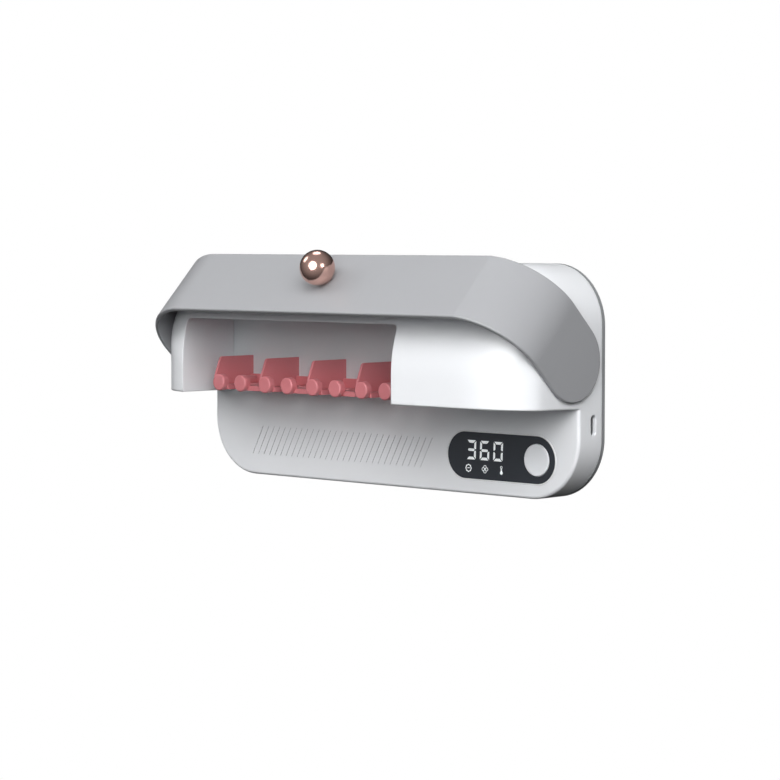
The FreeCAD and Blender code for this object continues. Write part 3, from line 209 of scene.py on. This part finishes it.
class Graph:
    """Short names for building a node tree."""

    def __init__(self, material):
        self.tree = material.node_tree
        self.coordinates = self.tree.nodes.new("ShaderNodeTexCoord").outputs["Object"]

    def node(self, kind, **settings):
        made = self.tree.nodes.new(kind)
        for name, value in settings.items():
            if hasattr(made, name):
                setattr(made, name, value)
            else:
                made.inputs[name.replace("_", " ")].default_value = value
        return made

    def link(self, source, target):
        self.tree.links.new(source, target)

    def noise(self, size, detail=2.0):
        """Noise whose features are about that many metres across."""
        made = self.node("ShaderNodeTexNoise", Scale=1.0 / size, Detail=detail)
        self.link(self.coordinates, made.inputs["Vector"])
        return made.outputs["Fac"]

    def spread(self, value, low, high):
        """A noise stretched to run between two values."""
        made = self.node("ShaderNodeMapRange", From_Min=NOISE_LOW, From_Max=NOISE_HIGH,
                         To_Min=low, To_Max=high)
        self.link(value, made.inputs["Value"])
        return made.outputs["Result"]

    def blend(self, factor, first, second):
        made = self.node("ShaderNodeMix", data_type="RGBA")
        self.link(factor, made.inputs[0])
        for socket, value in ((made.inputs[6], first), (made.inputs[7], second)):
            if isinstance(value, tuple):
                socket.default_value = value
            else:
                self.link(value, socket)
        return made.outputs[2]

    def bump(self, height, distance, below=None):
        made = self.node("ShaderNodeBump", Distance=distance)
        self.link(height, made.inputs["Height"])
        if below is not None:
            self.link(below, made.inputs["Normal"])
        return made.outputs["Normal"]


def shade(colour, factor):
    return tuple(min(channel * factor, 1.0) for channel in colour) + (1.0,)


def moulded(name, colour, roughness, grain=SKIN_SIZE, depth=0.000002, tone=0.03, coat=0.0, subsurface=0.0,
            metallic=0.0, specular=0.5, coat_roughness=0.08, edge=0.0, uneven=0.1):
    """Moulded or painted surface: slow tone drift, uneven gloss, a fine skin texture, worn-round edges."""
    material = bpy.data.materials.new(name)
    material.use_nodes = True
    graph = Graph(material)
    surface = material.node_tree.nodes["Principled BSDF"]
    drift = graph.spread(graph.noise(TONE_SIZE, detail=3.0), 0.0, 1.0)
    paint = graph.blend(drift, shade(colour, 1 - tone), shade(colour, 1 + tone))
    graph.link(paint, surface.inputs["Base Color"])
    shine = graph.noise(GLOSS_SIZE, detail=4.0)
    gloss = graph.spread(shine, roughness * (1 - uneven), roughness * (1 + uneven))
    graph.link(gloss, surface.inputs["Roughness"])
    rounded = None
    if edge:
        rounded = graph.node("ShaderNodeBevel", samples=BEVEL_SAMPLES, Radius=edge).outputs["Normal"]
    graph.link(graph.bump(graph.noise(grain), depth, below=rounded), surface.inputs["Normal"])
    surface.inputs["Metallic"].default_value = metallic
    surface.inputs["Specular IOR Level"].default_value = specular
    surface.inputs["Coat Weight"].default_value = coat
    surface.inputs["Coat Roughness"].default_value = coat_roughness
    if subsurface:
        surface.inputs["Subsurface Weight"].default_value = subsurface
        surface.inputs["Subsurface Radius"].default_value = SCATTER
    return material


def glowing(name, colour, strength):
    """Lit display mark with slightly uneven brightness."""
    material = moulded(name, colour, MARK_ROUGHNESS)
    graph = Graph(material)
    surface = material.node_tree.nodes["Principled BSDF"]
    surface.inputs["Emission Color"].default_value = colour + (1.0,)
    uneven = graph.spread(graph.noise(SKIN_SIZE), strength * MARK_DIMMEST, strength)
    graph.link(uneven, surface.inputs["Emission Strength"])
    return material


LOOKS = {
    "case_white": dict(colour=(0.81, 0.825, 0.85), roughness=0.36, coat=0.12, coat_roughness=0.14,
                       tone=0.006, specular=0.4, edge=0.0009),
    "case_back": dict(colour=(0.26, 0.27, 0.28), roughness=0.5, grain=0.0016, depth=0.00001, edge=0.0004),
    # painted shade: the chamber's liner is the case's white plastic, coloured grey and darker so the
    # inside of the chamber reads as shaded
    "liner_grey": dict(colour=(0.60, 0.64, 0.66), roughness=0.45, tone=0.01, specular=0.35),
    "cover_grey": dict(colour=(0.33, 0.335, 0.35), roughness=0.40, tone=0.008, specular=0.35, edge=0.0003),
    "rose_gold": dict(colour=(0.76, 0.48, 0.41), roughness=0.17, metallic=1.0, tone=0.01, depth=0.0000005),
    "steel": dict(colour=(0.60, 0.61, 0.62), roughness=0.25, metallic=1.0),
    "bush_plastic": dict(colour=(0.75, 0.73, 0.66), roughness=0.4),
    "holder_pink": dict(colour=(0.63, 0.20, 0.22), roughness=0.38, tone=0.015, subsurface=0.05,
                        edge=0.0003),
    "window_dark": dict(colour=(0.026, 0.030, 0.038), roughness=0.30, coat=0.15, tone=0.02, specular=0.4,
                        uneven=0.01),
    "trim_white": dict(colour=(0.82, 0.83, 0.84), roughness=0.25, coat=0.4),
    "button_silver": dict(colour=(0.84, 0.86, 0.89), roughness=0.34),
    "black_plastic": dict(colour=(0.02, 0.02, 0.022), roughness=0.5),
    "board_green": dict(colour=(0.03, 0.16, 0.08), roughness=0.35, coat=0.3),
    "led_yellow": dict(colour=(0.75, 0.60, 0.12), roughness=0.3),
    "quartz": dict(colour=(0.62, 0.66, 0.74), roughness=0.08, coat=0.6),
    "cell_wrap": dict(colour=(0.16, 0.24, 0.42), roughness=0.35),
    "foam": dict(colour=(0.06, 0.06, 0.065), roughness=0.85, grain=0.0009, depth=0.0001),
    "lead_red": dict(colour=(0.55, 0.03, 0.03), roughness=0.4),
    "lead_white": dict(colour=(0.75, 0.75, 0.74), roughness=0.4),
    "duct_white": dict(colour=(0.70, 0.70, 0.68), roughness=0.45),
    "heater_metal": dict(colour=(0.60, 0.60, 0.60), roughness=0.3, metallic=1.0),
    "bracket_metal": dict(colour=(0.55, 0.56, 0.57), roughness=0.3, metallic=1.0),
}
MATERIALS = {name: moulded(name, **look) for name, look in LOOKS.items()}
MATERIALS["lit_marks"] = glowing("lit_marks", (0.82, 0.85, 0.86), 0.35)


def dress_cad_nodes():
    """Give every CAD node the detailed material of its slot."""
    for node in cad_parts.values():
        for place in node.material_slots:
            slot = place.material.name.split(".")[0]
            place.material = MATERIALS[slot]


# ---- faint ridges on the lower face, in millimetres ----
LINE_COUNT = 30
LINE_X0 = -96.5
LINE_STEP = 4.15
LINE_LEAN = 8.0               # how far the top of a line is to the right of its foot
LINE_Z0 = -45.2
LINE_Z1 = -30.2
LINE_D = 19.98
LINE_HALF = 0.25
LINE_PROUD = 0.07
# a ridge's corners are left foot, right foot and crest, at its low end and then at its high end
LINE_FACES = ((0, 2, 5, 3), (2, 1, 4, 5), (0, 1, 2), (3, 5, 4), (0, 3, 4, 1))


def slanted_lines():
    """Faint slanted ridges moulded just proud of the lower front face."""
    points, faces = [], []
    lean = Vector((LINE_LEAN, 0.0, LINE_Z1 - LINE_Z0)).normalized()
    across = Vector((lean.z, 0.0, -lean.x)) * LINE_HALF * MM
    crest = Vector((0.0, -LINE_PROUD * MM, 0.0))
    for index in range(LINE_COUNT):
        foot = LINE_X0 + index * LINE_STEP
        low = Vector((foot, -LINE_D, LINE_Z0)) * MM
        high = Vector((foot + LINE_LEAN, -LINE_D, LINE_Z1)) * MM
        first = len(points)
        for end, along in ((low, lean), (high, -lean)):
            points += [end - across, end + across, end + crest + along * LINE_HALF * MM]
        faces += [[first + corner for corner in face] for face in LINE_FACES]
    mesh = bpy.data.meshes.new("slanted_lines")
    mesh.from_pydata(points, [], faces)
    mesh.update()
    mesh.materials.append(MATERIALS["case_white"])
    piece = add_object("slanted_lines", mesh)
    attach(piece, UNIT)


# ---- lit figures and marks on the display, in millimetres on the window's face ----
WINDOW_D = 20.0
INK_T = 0.12
INK_SINK = 0.01
DIGIT_X = (57.7, 66.3, 74.9)
DIGIT_Z = -34.5
DIGIT_HALF_W = 2.95
DIGIT_HALF_H = 4.7
DIGIT_LEAN = 0.045
FLAT_BAR = 1.3                # thickness of the level bars
TALL_BAR = 1.1                # and of the upright ones
BAR_GAP = 0.40
BAR_POINT = 0.5               # length of a bar's slanted end
UPRIGHT_TOE = 0.55            # width of an upright bar's end at the middle, as a part of its thickness
MIDDLE_HALF = 0.46            # half the middle bar, as a part of a level bar's thickness
MIDDLE_INSET = 0.75           # its ends from the outer edge, as a part of an upright bar's thickness
LIT_BARS = {"3": "abcdg", "6": "acdefg", "0": "abcdef"}
MARK_Z = -43.5
LAMP_X, LAMP_R, LAMP_HOLE_R = 55.9, 1.88, 1.42
NOTCH_DEPTH, NOTCHES = 0.14, 8
LAMP_WAVE = ((-0.75, -0.25), (-0.25, 0.1), (0.3, -0.2), (0.75, 0.05),
             (0.75, 0.4), (0.3, 0.15), (-0.25, 0.45), (-0.75, 0.1))
FAN_X, BLADES = 66.5, 4
BLADE_AT, BLADE_R, BLADE_HOLE_R = 1.06, 0.90, 0.68
HEAT_X, BULB_Z, BULB_R = 77.0, -1.2, 0.84
STEM_HALF_W, STEM_Z0, STEM_Z1 = 0.36, -1.1, 0.9
TIP_Z, TIP_R, TIP_HOLE_R = 1.5, 0.66, 0.42
RING_STEPS = 28


def band(shape, first, second):
    """Faces between two rings with the same number of corners."""
    faces = []
    for index in range(len(first)):
        after = (index + 1) % len(first)
        faces.append(shape.faces.new((first[index], first[after], second[after], second[index])))
    return faces


def ink(name, outlines, replaced):
    """One lit piece of thin prisms. An outline is one ring of (x, z) points, or two for a hole."""
    shape = bmesh.new()
    front, back = -(WINDOW_D + INK_T), -(WINDOW_D - INK_SINK)
    for rings in outlines:
        near, far = [[[shape.verts.new((x * MM, y * MM, z * MM)) for x, z in ring] for ring in rings]
                     for y in (front, back)]
        faces = []
        for layer in (near, far):
            faces += band(shape, *layer) if len(layer) == 2 else [shape.faces.new(layer[0])]
        for near_ring, far_ring in zip(near, far):
            faces += band(shape, near_ring, far_ring)
        bmesh.ops.recalc_face_normals(shape, faces=faces)
    mesh = bpy.data.meshes.new(name)
    shape.to_mesh(mesh)
    shape.free()
    mesh.materials.append(MATERIALS["lit_marks"])
    piece = add_object(name, mesh)
    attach(piece, UNIT)
    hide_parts(replaced)


def digit_bars(figure, middle):
    """The lit bars of one leaning seven-segment figure."""
    w, h, gap = DIGIT_HALF_W, DIGIT_HALF_H, BAR_GAP
    inner_w, inner_h = w - TALL_BAR, h - FLAT_BAR
    bars = {}
    for name, side in (("a", 1), ("d", -1)):
        long, short = w - gap, w - gap - FLAT_BAR
        bars[name] = [(-long, side * h), (long, side * h),
                      (short, side * inner_h), (-short, side * inner_h)]
    for name, side, end in (("f", -1, 1), ("b", 1, 1), ("e", -1, -1), ("c", 1, -1)):
        bars[name] = [(side * w, end * (h - gap)), (side * w, end * gap),
                      (side * (w - TALL_BAR * UPRIGHT_TOE), end * gap),
                      (side * inner_w, end * (gap + BAR_POINT)),
                      (side * inner_w, end * (h - gap - TALL_BAR))]
    half, tip = FLAT_BAR * MIDDLE_HALF, w - TALL_BAR * MIDDLE_INSET
    flat = tip - BAR_POINT
    bars["g"] = [(-tip, 0.0), (-flat, half), (flat, half), (tip, 0.0), (flat, -half), (-flat, -half)]
    lit = [bars[name] for name in LIT_BARS[figure]]
    return [[[(middle + x + z * DIGIT_LEAN, DIGIT_Z + z) for x, z in bar]] for bar in lit]


def circle(x, z, radius, wave=0.0, waves=0):
    """Ring of points round a centre, with an optional wavy edge."""
    points = []
    for step in range(RING_STEPS):
        turn = 2 * math.pi * step / RING_STEPS
        reach = radius + wave * math.cos(waves * turn)
        points.append((x + reach * math.cos(turn), z + reach * math.sin(turn)))
    return points


def lamp_mark():
    """A notched ring round a small wavy line."""
    notched = circle(LAMP_X, MARK_Z, LAMP_R, NOTCH_DEPTH, NOTCHES)
    wave = [(LAMP_X + x, MARK_Z + z) for x, z in LAMP_WAVE]
    return [[notched, circle(LAMP_X, MARK_Z, LAMP_HOLE_R)], [wave]]


def fan_mark():
    """Thin open blades round a centre."""
    blades = []
    for step in range(BLADES):
        turn = 2 * math.pi * step / BLADES
        x, z = FAN_X + BLADE_AT * math.cos(turn), MARK_Z + BLADE_AT * math.sin(turn)
        blades.append([circle(x, z, BLADE_R), circle(x, z, BLADE_HOLE_R)])
    return blades


def heat_mark():
    """A thermometer: a filled bulb and stem, and a thin open top."""
    left, right = HEAT_X - STEM_HALF_W, HEAT_X + STEM_HALF_W
    low, high = MARK_Z + STEM_Z0, MARK_Z + STEM_Z1
    tip_z = MARK_Z + TIP_Z
    return [[circle(HEAT_X, MARK_Z + BULB_Z, BULB_R)],
            [[(left, low), (right, low), (right, high), (left, high)]],
            [circle(HEAT_X, tip_z, TIP_R), circle(HEAT_X, tip_z, TIP_HOLE_R)]]


def lit_display():
    figures = []
    for figure, middle in zip("360", DIGIT_X):
        figures += digit_bars(figure, middle)
    ink("lit_figures", figures, "display_digits")
    ink("lit_icons", lamp_mark() + fan_mark() + heat_mark(), "display_icons")


make_camera()
make_world()
make_lights()
make_floor()
dress_cad_nodes()
slanted_lines()
lit_display()
bpy.context.scene.view_settings.view_transform = "Standard"
